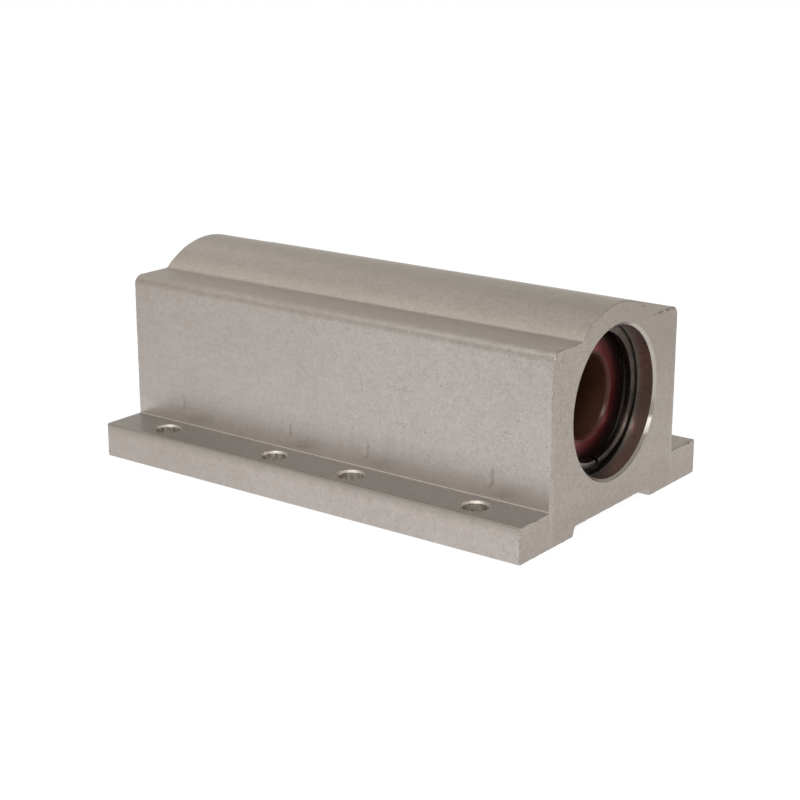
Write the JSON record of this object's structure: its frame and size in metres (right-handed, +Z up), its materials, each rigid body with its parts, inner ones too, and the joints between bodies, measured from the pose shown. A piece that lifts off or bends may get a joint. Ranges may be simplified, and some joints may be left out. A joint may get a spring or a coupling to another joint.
{
  "type": "linear bearing block",
  "caption": "Long closed pillow block for a round shaft: extruded aluminium housing with drilled side flanges and lined plain bearings held in its bore by retaining rings.",
  "frame": {"origin": "on the ground under the middle of the block, midway between its cut ends", "axes": "+X along the bore towards the front mouth, +Y across the base, +Z up through the arch"},
  "size_m": [0.1016, 0.0636, 0.0413],
  "materials": {
    "clear_anodised_aluminium": "matte clear anodised, machined ends",
    "dark_red_anodised_aluminium": "turned and glossy dark red anodised",
    "brown_polymer": "matte bearing polymer",
    "spring_steel": "plain oiled spring steel",
    "seal_rubber": "moulded rubber"
  },
  "bodies": {
    "root": {"housing": "clear_anodised_aluminium", "front_bearing_shell": "dark_red_anodised_aluminium", "front_bearing_liner": "brown_polymer", "front_outboard_o_ring": "seal_rubber", "front_inboard_o_ring": "seal_rubber", "front_outboard_retaining_ring": "spring_steel", "front_inboard_retaining_ring": "spring_steel", "rear_bearing_shell": "dark_red_anodised_aluminium", "rear_bearing_liner": "brown_polymer", "rear_outboard_o_ring": "seal_rubber", "rear_inboard_o_ring": "seal_rubber", "rear_outboard_retaining_ring": "spring_steel", "rear_inboard_retaining_ring": "spring_steel"}
  },
  "joints": []
}
